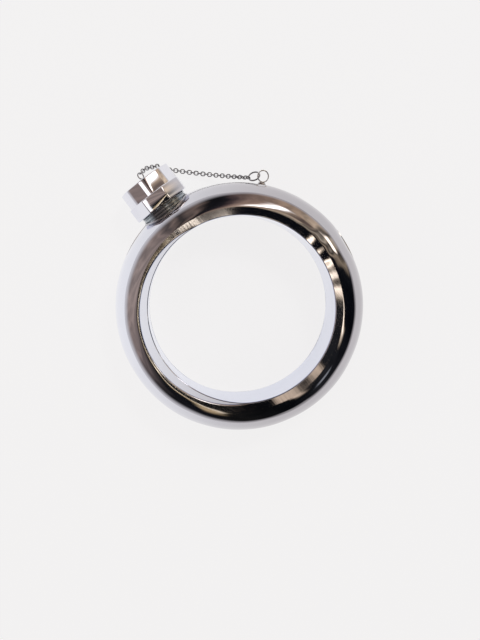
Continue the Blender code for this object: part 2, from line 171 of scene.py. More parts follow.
def frozen(thing, name):
    # the evaluated object as a plain mesh on a new object
    bpy.context.view_layer.update()
    graph = bpy.context.evaluated_depsgraph_get()
    mesh = bpy.data.meshes.new_from_object(thing.evaluated_get(graph))
    mesh.transform(thing.matrix_world)
    mesh.name = name
    bpy.data.objects.remove(thing, do_unlink=True)
    return newObject(name, mesh)


def loopMesh(name, rings, material):
    # joins closed rings of points, one after another and the last to the first
    count, around = len(rings), len(rings[0])
    points = [point for ring in rings for point in ring]
    faces = []
    for i in range(count):
        for j in range(around):
            k, m = (i + 1) % count, (j + 1) % around
            faces.append((i * around + j, k * around + j, k * around + m, i * around + m))
    mesh = bpy.data.meshes.new(name)
    mesh.from_pydata(points, [], faces)
    form = bmesh.new()
    form.from_mesh(mesh)
    bmesh.ops.recalc_face_normals(form, faces=form.faces)
    if form.calc_volume(signed=True) < 0:
        bmesh.ops.reverse_faces(form, faces=form.faces)
    form.to_mesh(mesh)
    form.free()
    return newObject(name, mesh, material)


def turnedPiece(name, outline, steps, material, place=neckFrame):
    # a closed outline of (radius, height) turned about the placement's Z
    rings = []
    for i in range(steps):
        angle = math.tau * i / steps
        across = Vector((math.cos(angle), math.sin(angle), 0))
        rings.append([place @ (across * radius + Vector((0, 0, height))) for radius, height in outline])
    piece = loopMesh(name, rings, material)
    soften(piece.data)
    return piece


def roundPath(middleOf, first, second, radius, steps):
    turns = [math.tau * i / steps for i in range(steps)]
    return [middleOf + (first * math.cos(turn) + second * math.sin(turn)) * radius for turn in turns]


def tubeAlong(name, path, radius, sides, material, closed=True):
    curve = bpy.data.curves.new(name, "CURVE")
    curve.dimensions = "3D"
    spline = curve.splines.new("POLY")
    spline.points.add(len(path) - 1)
    for point, place in zip(spline.points, path):
        point.co = (*place, 1)
    spline.use_cyclic_u = closed
    curve.bevel_depth = radius
    curve.bevel_resolution = sides
    curve.use_fill_caps = True
    thing = bpy.data.objects.new(name, curve)
    bpy.context.scene.collection.objects.link(thing)
    piece = frozen(thing, name)
    piece.data.materials.clear()
    piece.data.materials.append(material)
    piece.data.shade_smooth()
    return piece


# camera: above the flask, a little left of and above the ring's middle

cameraLook = {"height": 0.3627, "left": 0.020, "up": 0.029, "aimBelow": 0.0052, "angle": 39.0}


def makeCamera(look):
    data = bpy.data.cameras.new("camera")
    data.sensor_fit = "VERTICAL"
    data.angle = math.radians(look["angle"])
    data.clip_start = 0.01
    eye = centre - viewRight * look["left"] + viewUp * look["up"] + Vector((0, 0, middle + look["height"]))
    aim = centre - viewUp * look["aimBelow"] + Vector((0, 0, middle))
    back = (eye - aim).normalized()
    right = viewUp.cross(back).normalized()
    camera = bpy.data.objects.new("camera", data)
    bpy.context.scene.collection.objects.link(camera)
    turn = Matrix((right, back.cross(right), back)).transposed().to_4x4()
    turn.translation = eye
    camera.matrix_world = turn
    bpy.context.scene.camera = camera


makeCamera(cameraLook)
print("camera stands")

# finishes

# each finish's first colour is a painted lit-side tint and its second a painted shaded-side tint, standing in
# for brighter, cooler reflections towards the window and darker, warmer ones away from it
steelLooks = {
    "polishedSteel": {
        "near": (0.90, 0.92, 1.0), "farShadeTint": (0.54, 0.52, 0.545), "rough": (0.03, 0.075),
        "smudge": 45, "scratch": 900, "scratchDepth": 0.000002, "ripple": 60, "rippleDepth": 0.00002,
    },
    "bandSteel": {
        "near": (0.80, 0.84, 0.98), "farShadeTint": (0.72, 0.75, 0.88), "rough": (0.05, 0.12),
        "smudge": 60, "scratch": 1400, "scratchDepth": 0.000003, "ripple": 70, "rippleDepth": 0.00003,
    },
    "capSteel": {
        "near": (0.84, 0.85, 0.93), "farShadeTint": (0.84, 0.82, 0.83), "rough": (0.03, 0.09),
        "smudge": 160, "scratch": 1800, "scratchDepth": 0.000002, "ripple": 150, "rippleDepth": 0.000012,
    },
    # painted shade: the neck's steel is dark all over, standing in for the shade and dark reflections under the
    # cap
    "neckSteel": {
        "near": (0.40, 0.43, 0.46), "farShadeTint": (0.32, 0.34, 0.36), "rough": (0.08, 0.22),
        "smudge": 300, "scratch": 2600, "scratchDepth": 0.000006, "ripple": 400, "rippleDepth": 0.00001,
    },
    "chainSteel": {
        "near": (0.40, 0.40, 0.42), "farShadeTint": (0.34, 0.34, 0.35), "rough": (0.10, 0.26),
        "smudge": 700, "scratch": 3000, "scratchDepth": 0.000002, "ripple": 900, "rippleDepth": 0.000006,
    },
    "ringSteel": {
        "near": (0.97, 0.97, 0.98), "farShadeTint": (0.95, 0.95, 0.95), "rough": (0.05, 0.12),
        "smudge": 600, "scratch": 3000, "scratchDepth": 0.000001, "ripple": 600, "rippleDepth": 0.000004,
    },
    "weldSteel": {
        "near": (0.55, 0.55, 0.58), "farShadeTint": (0.50, 0.48, 0.48), "rough": (0.16, 0.36),
        "smudge": 900, "scratch": 2600, "scratchDepth": 0.000004, "ripple": 1500, "rippleDepth": 0.00002,
    },
}


# where rubbing starts and is full, how much it darkens, and how far scratches are drawn out each way
rubLook = {
    "low": 0.42, "high": 0.72, "share": 0.25, "dark": (0.09, 0.085, 0.08),
    "drawn": (1.0, 0.08, 0.25),
}
# the span across the flask where the painted lit-side tint gives way to the painted shaded-side tint
paintedShadeSpan = (-1.3 * outerRadius, 0.35 * outerRadius)  # where the near tint ends and the far one begins


def blank(name):
    # a material, its tree to fill, and places on the object
    material = bpy.data.materials.new(name)
    material.use_nodes = True
    shade = Shade(material.node_tree)
    return material, shade, shade.node("ShaderNodeTexCoord", output=3)


def coat(shade, colour, roughness, height, metal):
    shader = shade.tree.nodes["Principled BSDF"]
    bump = shade.node("ShaderNodeBump", None, {"Height": height, "Distance": 1.0, "Strength": 1.0})
    shade.plug(shader.inputs["Base Color"], colour)
    shade.plug(shader.inputs["Roughness"], roughness)
    shade.plug(shader.inputs["Normal"], bump)
    shader.inputs["Metallic"].default_value = metal


def steel(name):
    look = steelLooks[name]
    material, shade, place = blank(name)
    x, y, _ = shade.split(place)
    # painted light: the steel is coloured cooler and brighter on the side towards the window and darker and
    # warmer on the other, standing in for how its reflections fall
    across = x * viewRight.x + y * viewRight.y - centre.dot(viewRight)
    tint = shade.mix(shade.smooth(across, *paintedShadeSpan), look["near"], look["farShadeTint"])
    rubbed = shade.smooth(shade.noise(place, look["smudge"], 3.0), rubLook["low"], rubLook["high"])
    dulled = shade.mix(rubbed * rubLook["share"], (0, 0, 0), rubLook["dark"])
    low, high = look["rough"]
    drawn = shade.node("ShaderNodeMapping", None, {"Vector": place, "Scale": rubLook["drawn"]})
    scratches = shade.noise(drawn, look["scratch"])
    ripple = shade.noise(place, look["ripple"], 1.0)
    height = scratches * look["scratchDepth"] + ripple * look["rippleDepth"]
    coat(shade, shade.vectors("SUBTRACT", tint, dulled), rubbed * (high - low) + low, height, 1.0)
    return material


softLooks = {
    "insertPlastic": {
        "colour": (0.012, 0.012, 0.013), "worn": (0.03, 0.03, 0.032), "rough": 0.42,
        "grain": 1500, "grainDepth": 0.00002,
    },
    "linerRubber": {
        "colour": (0.72, 0.71, 0.68), "worn": (0.60, 0.58, 0.53), "rough": 0.62,
        "grain": 900, "grainDepth": 0.00002,
    },
}


def moulded(name):
    look = softLooks[name]
    material, shade, place = blank(name)
    grain = shade.noise(place, look["grain"], 3.0)
    patch = shade.smooth(shade.noise(place, look["grain"] / 6), 0.4, 0.7)
    colour = shade.mix(patch, look["colour"], look["worn"])
    coat(shade, colour, grain * 0.2 + (look["rough"] - 0.1), grain * look["grainDepth"], 0.0)
    return material


materials = {name: steel(name) for name in steelLooks} | {name: moulded(name) for name in softLooks}
print("finishes mixed")

# the hollow ring: two pressed shells and the band welded inside them

ringLook = {
    "steps": 300, "domeSteps": 34, "slopeSteps": 26, "wall": 0.0006,
    "crown": 0.0032, "lipSide": 160, "lipSpread": 78, "lipShift": 0.0009,
    "lipWidth": 0.0034, "lipBlend": 0.24, "slopeTilt": 1, "lipTilt": 62, "seam": 0.00008, "lipGap": 0.00045,
    "lipFade": 0.8, "lipEdge": 0.00035, "lipTuck": ((-0.00002, -0.0001), (0.00006, -0.00022)),
    "dentAt": -6, "dentSpread": 8, "dentDepth": 0.00055,
    "facetsAt": 2, "facetsSpread": 20, "facetsDepth": 0.00006,
    # turns round the ring, start, size
    "waves": ((2, 0.4, 0.00007), (5, 1.9, 0.00005), (9, 0.7, 0.00004), (17, 2.6, 0.00002)),
    "wallPoints": 14, "mouthRadius": 0.0091, "mouthDepth": 0.016,
}
bandLook = {
    "lip": ((0.00028, 0.0), (0.0001, -0.00008), (0.0, -0.00028)), "stand": 0.00007, "rows": 12,
    "swell": 0.00004, "ripple": 0.00003,
}


def turnAway(angle, place):
    # degrees from a place on the ring, either way round
    return (math.degrees(angle) - place + 180) % 360 - 180


def lipShare(angle):
    # how much of the wide, soft inner lip there is at an angle
    away = turnAway(angle, ringLook["lipSide"]) / ringLook["lipSpread"]
    return math.cos(away * math.pi / 2) ** ringLook["lipFade"] if abs(away) < 1 else 0.0


def unevenness(angle, rise):
    # hand polishing leaves the ring a little out of true, always on the inside of the full size
    look = ringLook
    total = -sum(size for _, _, size in look["waves"])
    for turns, phase, size in look["waves"]:
        total += size * math.sin(turns * angle + phase + rise * (1.3 + 0.2 * turns))
    dent = turnAway(angle, look["dentAt"]) / look["dentSpread"]
    total -= look["dentDepth"] * math.exp(-(dent**2)) * math.cos(rise)
    facets = math.sin(13 * angle + 4 * rise) * math.sin(29 * angle - 3 * rise)
    near = turnAway(angle, look["facetsAt"]) / look["facetsSpread"]
    return total + look["facetsDepth"] * facets * math.exp(-(near**2))


def shellSection(angle):
    # (radius, height above the middle) from the outer seam over the crown to the inner lip
    look = ringLook
    share = lipShare(angle)
    half = depth / 2
    crown = bandRadius + look["crown"] + look["lipShift"] * share
    reach = outerRadius - crown
    points = [(outerRadius - look["seam"], 0.0)]
    for i in range(look["domeSteps"] + 1):
        rise = math.pi / 2 * (i + 0.25) / (look["domeSteps"] + 0.25)
        out = unevenness(angle, rise)
        points.append((crown + (reach + out) * math.cos(rise), (half + out * 0.4) * math.sin(rise)))
    lip = bandRadius + look["lipEdge"]
    radius, height = points[-1]
    step = (radius - lip) / look["slopeSteps"]
    wide = look["lipWidth"] / (radius - lip) / look["lipBlend"]
    for i in range(look["slopeSteps"]):
        along = (i + 0.5) / look["slopeSteps"]
        steep = min(1.0, max(0.0, (along - 1) / look["lipBlend"] + share * wide))
        steep = steep * steep * (3 - 2 * steep)
        radius -= step
        tilt = look["slopeTilt"] + (look["lipTilt"] - look["slopeTilt"]) * steep
        height -= math.tan(math.radians(tilt)) * step
        points.append((radius, height))
    return points + [(lip + inward, height + drop) for inward, drop in look["lipTuck"]]


def ringPlace(angle, radius, height):
    across = Vector((math.cos(angle), math.sin(angle), 0))
    return centre + across * radius + Vector((0, 0, middle + height))


def walled(points, wall):
    # closes a section with a copy of itself one wall further in
    inner = []
    for i, (radius, height) in enumerate(points):
        before, after = points[max(i - 1, 0)], points[min(i + 1, len(points) - 1)]
        dr, dh = after[0] - before[0], after[1] - before[1]
        size = math.hypot(dr, dh)
        inner.append((radius - wall * dh / size, height + wall * dr / size))
    inner[0] = (points[0][0] - wall, 0.0)
    last = points[-1]
    inner = [p for p in inner if p[0] > last[0] + wall * 1.2] + [(last[0] + wall, last[1] - wall)]
    return points + inner[::-1]


def makeShell(name, node, side):
    look = ringLook
    rings = []
    for i in range(look["steps"]):
        angle = math.tau * i / look["steps"]
        outer = shellSection(angle)
        inner = walled(outer, look["wall"])[len(outer):]
        last = look["wallPoints"] - 1
        outer += [inner[round(k * (len(inner) - 1) / last)] for k in range(last + 1)]
        rings.append([ringPlace(angle, radius, side * height) for radius, height in outer])
    shell = loopMesh(name + "Whole", rings, materials["polishedSteel"])
    bpy.ops.mesh.primitive_cylinder_add(vertices=64, radius=look["mouthRadius"], depth=look["mouthDepth"])
    cutter = bpy.context.object
    cutter.data.transform(neckFrame @ Matrix.Translation((0, 0, outerRadius - 0.002)))
    cut = shell.modifiers.new("mouth", "BOOLEAN")
    cut.object = cutter
    piece = frozen(shell, name)
    bpy.data.objects.remove(cutter, do_unlink=True)
    soften(piece.data, 40)
    settle(name, "flask", (node,))


def makeBand():
    look = bandLook
    rings = []
    for i in range(ringLook["steps"]):
        angle = math.tau * i / ringLook["steps"]
        top = shellSection(angle)[-1][1] - ringLook["lipGap"]
        section = [(bandRadius + a, top + b) for a, b in look["lip"]]
        for k in range(1, look["rows"]):
            height = top * (1 - k / (look["rows"] / 2))
            swell = look["swell"] * math.sin(3 * angle + height * 160)
            ripple = look["ripple"] * math.sin(11 * angle + 2)
            section.append((bandRadius + look["stand"] + swell + ripple, height))
        section += [(bandRadius + a, -top - b) for a, b in look["lip"][::-1]]
        section += [(bandRadius + bandWall, -top), (bandRadius + bandWall, top)]
        rings.append([ringPlace(angle, radius, height) for radius, height in section])
    band = loopMesh("innerBand", rings, materials["bandSteel"])
    soften(band.data, 40)
    settle("innerBand", "flask", ("inner_band",))


makeShell("frontShell", "front_shell", 1)
makeShell("rearShell", "rear_shell", -1)
makeBand()
print("ring is pressed and welded")

# neck: collar with its ridges, the threaded tube and the weld round it

collarLook = {
    "radius": 0.0100, "inner": 0.0083, "edge": 0.0002,
    "ridges": 3, "pitch": 0.0012, "groove": 0.00045, "halfGroove": 0.0003,
}
tubeLook = {
    "radius": 0.0080, "bore": 0.0070, "edge": 0.0002,
    "thread": 0.00055, "sink": 0.00035, "pitch": 0.0025, "turns": 1.6, "start": 0.0034,
}
weldLook = {"radius": 0.01012, "wire": 0.00034, "steps": 140, "beads": 31, "bead": 0.00005, "sunk": 0.0002}


def makeCollar():
    look = collarLook
    top, root = collarHigh.y - centre.y, collarLow.y - centre.y
    edge = look["edge"]
    outline = [(look["inner"], top), (look["radius"] - edge, top), (look["radius"], top - edge)]
    for i in range(look["ridges"]):
        middleOf = top - look["pitch"] * (i + 0.5)
        for k in range(-6, 7):
            share = math.cos(math.pi * k / 12)
            outline.append((look["radius"] - look["groove"] * share, middleOf - look["halfGroove"] * k / 6))
    outline += [(look["radius"], root), (look["inner"], root)]
    turnedPiece("neckCollar", outline, 128, materials["neckSteel"])
    settle("neckCollar", "flask", ("neck_collar",))


def makeTube():
    look = tubeLook
    top, root = tubeHigh.y - centre.y, tubeLow.y - centre.y
    edge = look["edge"]
    outline = [
        (look["bore"] + edge, top), (look["radius"] - edge, top), (look["radius"], top - edge),
        (look["radius"], root), (look["bore"], root), (look["bore"], top - edge),
    ]
    turnedPiece("neckTube", outline, 96, materials["neckSteel"])
    settle("neckTube", "flask", ("neck_tube",))


def groupSockets(tree, inputs):
    tree.interface.new_socket("Geometry", in_out="OUTPUT", socket_type="NodeSocketGeometry")
    for name, kind in inputs:
        tree.interface.new_socket(name, in_out="INPUT", socket_type="NodeSocket" + kind)
    return tree.nodes.new("NodeGroupInput"), tree.nodes.new("NodeGroupOutput")


def fillTree(tree, inputs, steps, links):
    # adds nodes of the kinds given, then joins them: (from, its output, to, its input)
    entry, out = groupSockets(tree, inputs)
    made = {"entry": entry, "out": out}
    for name, kind, settings in steps:
        node = tree.nodes.new(kind)
        for key, value in settings.items():
            if key in node.inputs:
                node.inputs[key].default_value = value
            else:
                setattr(node, key, value)
        made[name] = node
    for source, output, target, entered in links:
        tree.links.new(made[source].outputs[output], made[target].inputs[entered])


def runNodes(thing, tree, values, name):
    # sets a modifier's inputs by their identifiers and turns the result into a plain mesh
    modifier = thing.modifiers.new("shape", "NODES")
    modifier.node_group = tree
    for socket in tree.interface.items_tree:
        if socket.in_out == "INPUT" and socket.name in values:
            modifier[socket.identifier] = values[socket.name]
    return frozen(thing, name)


def threadTree():
    tree = bpy.data.node_groups.new("rolledThread", "GeometryNodeTree")
    inputs = [
        ("Radius", "Float"), ("Wire", "Float"), ("Height", "Float"), ("Turns", "Float"), ("Finish", "Material"),
    ]
    steps = [
        ("spiral", "GeometryNodeCurveSpiral", {"Resolution": 48, "Reverse": False}),
        ("round", "GeometryNodeCurvePrimitiveCircle", {"Resolution": 14}),
        ("tube", "GeometryNodeCurveToMesh", {"Fill Caps": True}),
        ("shade", "GeometryNodeSetShadeSmooth", {}),
        ("real", "GeometryNodeRealizeInstances", {}),
        ("finish", "GeometryNodeSetMaterial", {}),
    ]
    links = [
        ("entry", "Radius", "spiral", "Start Radius"), ("entry", "Radius", "spiral", "End Radius"),
        ("entry", "Height", "spiral", "Height"), ("entry", "Turns", "spiral", "Rotations"),
        ("entry", "Wire", "round", "Radius"), ("spiral", 0, "tube", "Curve"),
        ("round", 0, "tube", "Profile Curve"), ("tube", 0, "shade", "Geometry"),
        ("shade", 0, "real", "Geometry"), ("real", 0, "finish", "Geometry"),
        ("entry", "Finish", "finish", "Material"), ("finish", 0, "out", 0),
    ]
    fillTree(tree, inputs, steps, links)
    return tree


def makeThread():
    look = tubeLook
    start = outerRadius + look["start"]
    phase = math.tau * look["start"] / look["pitch"]
    holder = newObject("threadHolder", bpy.data.meshes.new("threadHolder"))
    values = {
        "Radius": look["radius"] + look["thread"] - look["sink"], "Wire": look["thread"],
        "Height": look["turns"] * look["pitch"], "Turns": look["turns"], "Finish": materials["neckSteel"],
    }
    thread = runNodes(holder, threadTree(), values, "neckThread")
    thread.data.transform(neckFrame @ Matrix.Translation((0, 0, start)) @ Matrix.Rotation(phase, 4, "Z"))
    thread.data.update()
    settle("neckThread", "flask")


def domeHeight(x, z):
    # how far out along the neck the ring's skin is at a place beside the neck's axis
    crown = bandRadius + ringLook["crown"]
    radius = crown + (outerRadius - crown) * math.sqrt(max(0.0, 1 - (z / (depth / 2)) ** 2))
    return math.sqrt(radius**2 - x**2)


def makeNeckWeld():
    look = weldLook
    path = []
    for i in range(look["steps"]):
        angle = math.tau * i / look["steps"]
        x, z = look["radius"] * math.cos(angle), look["radius"] * math.sin(angle)
        bead = look["bead"] * math.sin(look["beads"] * angle) - look["sunk"]
        path.append(centre + Vector((x, domeHeight(x, z) + bead, middle + z)))
    tubeAlong("neckWeld", path, look["wire"], 3, materials["weldSteel"])
    settle("neckWeld", "flask")


makeCollar()
makeTube()
makeThread()
makeNeckWeld()
print("neck is in")

# cap: a crown of eight faces on a skirt of eight, turned half a face

capLook = {
    "sides": 8, "skirtFlats": 0.0228, "crownFlats": 0.0214, "step": 0.0058, "turn": -94,
    "skirtEdge": 0.0004, "crownEdge": 0.0021, "rim": 0.00045,
    "bore": 0.0099, "topWall": 0.0008, "studHole": 0.00115, "overlap": 0.003,
}


def prism(name, flats, low, high, turn, edge):
    form = bmesh.new()
    corner = flats / 2 / math.cos(math.pi / capLook["sides"])
    bmesh.ops.create_cone(
        form, cap_ends=True, segments=capLook["sides"], radius1=corner, radius2=corner, depth=high - low
    )
    bmesh.ops.rotate(form, verts=form.verts, matrix=Matrix.Rotation(turn - math.pi / 2, 3, "Z"))
    bmesh.ops.translate(form, verts=form.verts, vec=(0, 0, (low + high) / 2))
    upright = [e for e in form.edges if abs(e.verts[0].co.z - e.verts[1].co.z) > 0.001]
    bmesh.ops.bevel(form, geom=upright, offset=edge, segments=7, profile=0.5, affect="EDGES")
    level = [e for e in form.edges if abs(e.verts[0].co.z - e.verts[1].co.z) < 0.00001]
    paired = [e for e in level if len(e.link_faces) == 2]
    rim = [e for e in paired if abs(e.link_faces[0].normal.z - e.link_faces[1].normal.z) > 0.5]
    bmesh.ops.bevel(form, geom=rim, offset=capLook["rim"], segments=3, profile=0.5, affect="EDGES")
    mesh = bpy.data.meshes.new(name)
    form.to_mesh(mesh)
    form.free()
    mesh.transform(neckFrame)
    return newObject(name, mesh)


def drum(name, radius, low, high):
    bpy.ops.mesh.primitive_cylinder_add(vertices=96, radius=radius, depth=high - low)
    thing = bpy.context.object
    thing.name = name
    thing.data.transform(neckFrame @ Matrix.Translation((0, 0, (low + high) / 2)))
    return thing


def makeCap():
    look = capLook
    low, high = capLow.y - centre.y, capHigh.y - centre.y
    turn = math.radians(look["turn"])
    step = low + look["step"]
    halfFace = math.pi / look["sides"]
    cap = prism("capWhole", look["skirtFlats"], low, step, turn + halfFace, look["skirtEdge"])
    crown = prism("capCrown", look["crownFlats"], step - look["overlap"], high, turn, look["crownEdge"])
    bore = drum("capBore", look["bore"], low - look["overlap"], high - look["topWall"])
    hole = drum("capHole", look["studHole"], high - look["overlap"], high + look["overlap"])
    for other, kind in ((crown, "UNION"), (bore, "DIFFERENCE"), (hole, "DIFFERENCE")):
        cut = cap.modifiers.new(other.name, "BOOLEAN")
        cut.operation = kind
        cut.object = other
    piece = frozen(cap, "capShell")
    for other in (crown, bore, hole):
        bpy.data.objects.remove(other, do_unlink=True)
    piece.data.materials.clear()
    piece.data.materials.append(materials["capSteel"])
    soften(piece.data, 25)
    settle("capShell", "cap", ("cap_shell",))


swivelLook = {
    "stud": 0.0008, "head": 0.0020, "headHeight": 0.0008,
    "collar": 0.0015, "collarHeight": 0.0004, "dome": 0.00012,
    "eyelet": 0.00135, "wire": 0.00050, "lean": 45,
}


def makeSwivel():
    look = swivelLook
    low = swivelLow.y - centre.y
    top = swivelHigh.y - centre.y - 2 * look["eyelet"] - look["wire"] / 2
    base = top - look["collarHeight"]
    dome = look["dome"]
    outline = [
        (0.00001, top + dome), (look["collar"] * 0.6, top + dome * 0.6),
        (look["collar"], top - 0.0001), (look["collar"], base),
        (look["stud"], base), (look["stud"], low + look["headHeight"]),
        (look["head"], low + look["headHeight"]), (look["head"], low), (0.00001, low),
    ]
    stud = turnedPiece("swivelStud", outline, 40, materials["ringSteel"])
    form = bmesh.new()
    form.from_mesh(stud.data)
    bmesh.ops.remove_doubles(form, verts=form.verts, dist=0.00003)
    form.to_mesh(stud.data)
    form.free()
    settle("swivelStud", "swivel", ("cap_swivel",))
    lean = math.radians(look["lean"])
    along = Vector((math.cos(lean), 0, -math.sin(lean)))
    middleOf = centre + Vector((0, top + look["eyelet"], middle))
    path = roundPath(middleOf, along, Vector((0, 1, 0)), look["eyelet"], 40)
    tubeAlong("swivelEyelet", path, look["wire"] / 2, 3, materials["chainSteel"])
    settle("swivelEyelet", "swivel")


makeCap()
makeSwivel()
print("cap and swivel are on")

# eye, jump ring and chain: their places are read from the frame's own nodes

wireLook = {
    "link": 0.00045, "linkLength": 0.00234, "linkWidth": 0.00200, "ring": 0.0023, "ringWire": 0.0006,
}
# the weld's half sizes are along the ring, outwards and across
eyeLook = {"foot": 0.0013, "weld": (0.00150, 0.00062, 0.00085), "weldOut": 0.0001}


def nodePoints(name):
    mesh = nodes[name].data
    points = np.empty(len(mesh.vertices) * 3)
    mesh.vertices.foreach_get("co", points)
    return np.unique(np.round(points.reshape(-1, 3), 7), axis=0)


def mainAxes(points):
    # middle of a wire shape and its directions, longest first
    middleOf = (points.min(0) + points.max(0)) / 2 if len(points) < 3 else points.mean(0)
    _, _, rows = np.linalg.svd(points - middleOf)
    if np.linalg.det(rows) < 0:
        rows[2] *= -1
    return Vector(middleOf), [Vector(row) for row in rows]


def wireRing(name, points, body, replaced, material):
    middleOf, (first, second, _) = mainAxes(points)
    path = roundPath(middleOf, first, second, wireLook["ring"], 56)
    tubeAlong(name, path, wireLook["ringWire"] / 2, 4, materials[material])
    settle(name, body, replaced)


def eyePlace():
    # the eye's own ring, without the foot it stands on
    points = nodePoints("body_eye")
    reach = np.hypot(points[:, 0] - centre.x, points[:, 1] - centre.y)
    return points[reach > outerRadius + eyeLook["foot"]]


def ringThrough(points):
    # middle and plane of the circle that a partial ring of wire follows
    middleOf, (first, second, normal) = mainAxes(points)
    offsets = [Vector(point) - middleOf for point in points]
    flat = np.array([[offset.dot(first), offset.dot(second)] for offset in offsets])
    rows = np.column_stack([2 * flat, np.ones(len(flat))])
    x, y, _ = np.linalg.lstsq(rows, (flat**2).sum(1), rcond=None)[0]
    return middleOf + first * x + second * y, first, second


def makeEye():
    middleOf, first, second = ringThrough(eyePlace())
    path = roundPath(middleOf, first, second, wireLook["ring"], 56)
    tubeAlong("bodyEye", path, wireLook["ringWire"] / 2, 4, materials["ringSteel"])
    settle("bodyEye", "flask", ("body_eye",))
    # a small lump of weld holds the eye to the skin
    out = Vector((middleOf.x - centre.x, middleOf.y - centre.y, 0)).normalized()
    side = Vector((-out.y, out.x, 0))
    long, deep, wide = eyeLook["weld"]
    form = bmesh.new()
    bmesh.ops.create_uvsphere(form, u_segments=32, v_segments=16, radius=1.0)
    for vert in form.verts:
        x, y, z = vert.co
        lump = 1 + 0.09 * math.sin(4 * x + 1) * math.sin(5 * y) + 0.05 * math.sin(9 * z + 2)
        place = side * (x * long) + out * (y * deep) + Vector((0, 0, z * wide))
        vert.co = centre + out * (outerRadius + eyeLook["weldOut"]) + Vector((0, 0, middle)) + place * lump
    mesh = bpy.data.meshes.new("eyeWeld")
    bmesh.ops.recalc_face_normals(form, faces=form.faces)
    form.to_mesh(mesh)
    form.free()
    mesh.shade_smooth()
    newObject("eyeWeld", mesh, materials["weldSteel"])
    settle("eyeWeld", "flask")


def linkTree():
    tree = bpy.data.node_groups.new("chainLinks", "GeometryNodeTree")
    inputs = [
        ("Geometry", "Geometry"), ("End Radius", "Float"), ("Straight", "Float"), ("Wire", "Float"),
        ("Finish", "Material"),
    ]
    steps = [
        ("loop", "GeometryNodeCurvePrimitiveCircle", {"Resolution": 22}),
        ("place", "GeometryNodeInputPosition", {}),
        ("parts", "ShaderNodeSeparateXYZ", {}),
        ("side", "ShaderNodeMath", {"operation": "SIGN"}),
        ("push", "ShaderNodeMath", {"operation": "MULTIPLY"}),
        ("shift", "ShaderNodeCombineXYZ", {}),
        ("spread", "GeometryNodeSetPosition", {}),
        ("round", "GeometryNodeCurvePrimitiveCircle", {"Resolution": 10}),
        ("tube", "GeometryNodeCurveToMesh", {}),
        ("smooth", "GeometryNodeSetShadeSmooth", {}),
        ("turn", "GeometryNodeInputNamedAttribute", {"data_type": "FLOAT_VECTOR", "Name": "turn"}),
        ("copies", "GeometryNodeInstanceOnPoints", {}),
        ("real", "GeometryNodeRealizeInstances", {}),
        ("finish", "GeometryNodeSetMaterial", {}),
    ]
    links = [
        ("entry", "End Radius", "loop", "Radius"), ("place", 0, "parts", 0), ("parts", 0, "side", 0),
        ("side", 0, "push", 0), ("entry", "Straight", "push", 1), ("push", 0, "shift", 0),
        ("loop", 0, "spread", "Geometry"), ("shift", 0, "spread", "Offset"),
        ("entry", "Wire", "round", "Radius"), ("spread", 0, "tube", "Curve"),
        ("round", 0, "tube", "Profile Curve"), ("tube", 0, "smooth", "Geometry"),
        ("entry", "Geometry", "copies", "Points"), ("smooth", 0, "copies", "Instance"),
        ("turn", 0, "copies", "Rotation"), ("copies", 0, "real", "Geometry"),
        ("real", 0, "finish", "Geometry"), ("entry", "Finish", "finish", "Material"),
        ("finish", 0, "out", 0),
    ]
    fillTree(tree, inputs, steps, links)
    return tree


def makeChain():
    tree = linkTree()
    endRadius = (wireLook["linkWidth"] - wireLook["link"]) / 2
    values = {
        "End Radius": endRadius, "Straight": (wireLook["linkLength"] - wireLook["linkWidth"]) / 2,
        "Wire": wireLook["link"] / 2, "Finish": materials["chainSteel"],
    }
    bodies = frame["record"]["behaviour"]["bodies"]
    for body, names in bodies.items():
        links = [name for name in names if name.startswith("link_")]
        if not links:
            continue
        mesh = bpy.data.meshes.new(body + "Points")
        placed = [mainAxes(nodePoints(name)) for name in links]
        mesh.from_pydata([place for place, _ in placed], [], [])
        turns = mesh.attributes.new("turn", "FLOAT_VECTOR", "POINT")
        for i, (_, axes) in enumerate(placed):
            turns.data[i].vector = Matrix(axes).transposed().to_euler()
        name = "chain" + body.split("_")[1]
        runNodes(newObject(name + "Points", mesh), tree, values, name)
        settle(name, body, links)


makeEye()
wireRing("jumpRing", nodePoints("jump_ring"), "jump_ring", ("jump_ring",), "chainSteel")
makeChain()
print("chain hangs")

# frame pieces that stay, with a finish of their own

for node, finish in (("cap_insert", "insertPlastic"), ("cap_liner", "linerRubber")):
    nodes[node].data.materials.clear()
    nodes[node].data.materials.append(materials[finish])

# the sheet it lies on, the room that the steel mirrors, and the light

